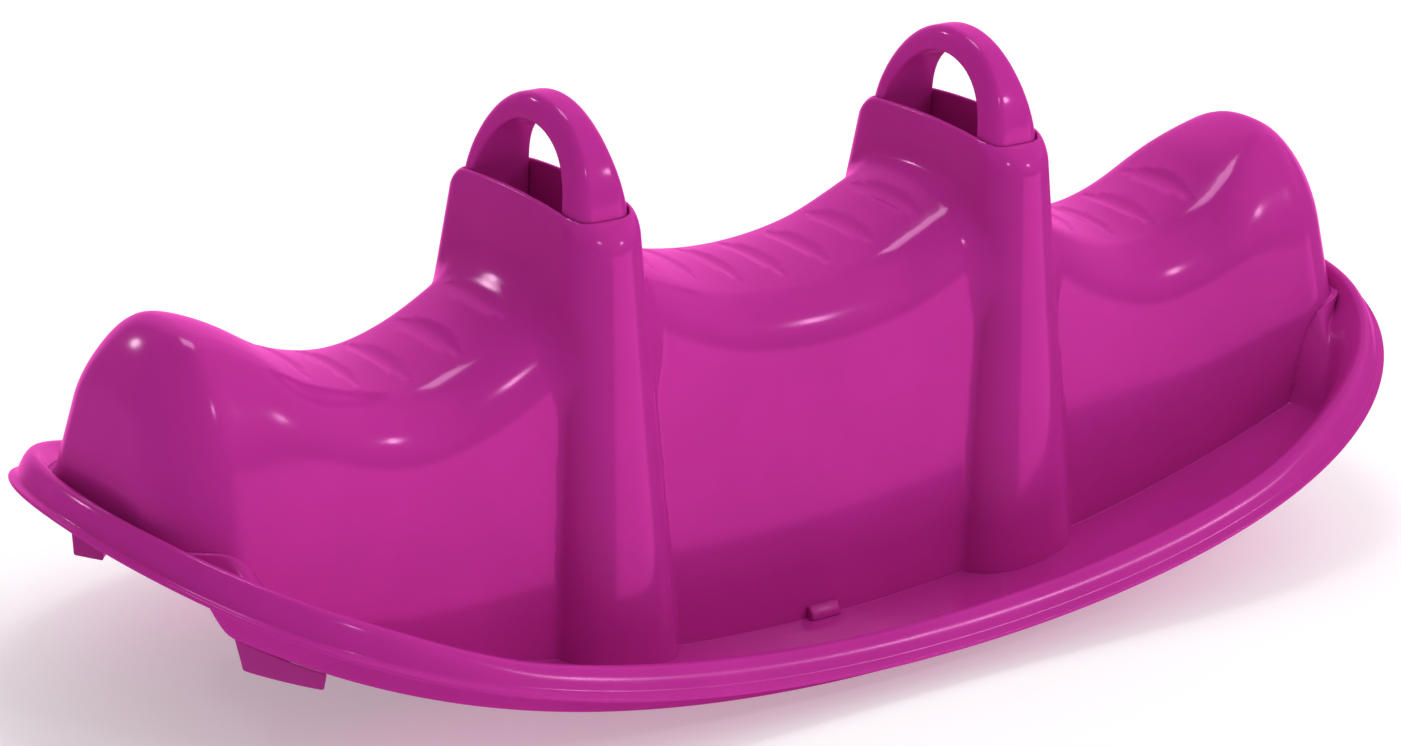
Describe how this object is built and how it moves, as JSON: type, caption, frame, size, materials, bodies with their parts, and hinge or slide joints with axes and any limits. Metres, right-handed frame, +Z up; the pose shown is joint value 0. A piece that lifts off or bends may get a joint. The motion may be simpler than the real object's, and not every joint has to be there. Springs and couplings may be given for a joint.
{
  "type": "three-seat rocking seesaw",
  "caption": "Indoor and garden rocking seesaw for small children: a hollow moulded bench with hoop handles on a curved rocker tray with footwells",
  "frame": {"origin": "on the floor under the centre of the seesaw, midway along its length and width", "axes": "+X along the length of the bench from the left handle to the right handle, +Y towards the far long side, +Z up"},
  "size_m": [1.03, 0.434, 0.359],
  "materials": {
    "shell_plastic": "glossy magenta moulded polyethylene",
    "tray_plastic": "glossy magenta moulded polyethylene",
    "handle_plastic": "glossy magenta injection-moulded plastic",
    "foot_plastic": "satin magenta moulded plastic",
    "clip_plastic": "satin magenta injection-moulded plastic",
    "screw_steel": "zinc-plated steel pan-head screws"
  },
  "bodies": {
    "root": {"seat_shell": "shell_plastic", "rocker_tray": "tray_plastic", "handle_left": "handle_plastic", "handle_right": "handle_plastic", "snap_clip_near": "clip_plastic", "snap_clip_far": "clip_plastic", "stop_foot_left_near": "foot_plastic", "stop_foot_left_far": "foot_plastic", "stop_foot_right_near": "foot_plastic", "stop_foot_right_far": "foot_plastic", "foot_screw_left_near": "screw_steel", "handle_screw_left_near": "screw_steel", "foot_screw_left_far": "screw_steel", "handle_screw_left_far": "screw_steel", "foot_screw_right_near": "screw_steel", "handle_screw_right_near": "screw_steel", "foot_screw_right_far": "screw_steel", "handle_screw_right_far": "screw_steel", "base_screw_01": "screw_steel", "base_screw_02": "screw_steel", "base_screw_03": "screw_steel", "base_screw_04": "screw_steel", "base_screw_05": "screw_steel", "base_screw_06": "screw_steel", "base_screw_07": "screw_steel", "base_screw_08": "screw_steel", "base_screw_09": "screw_steel", "base_screw_10": "screw_steel", "base_screw_11": "screw_steel", "base_screw_12": "screw_steel"}
  },
  "joints": []
}
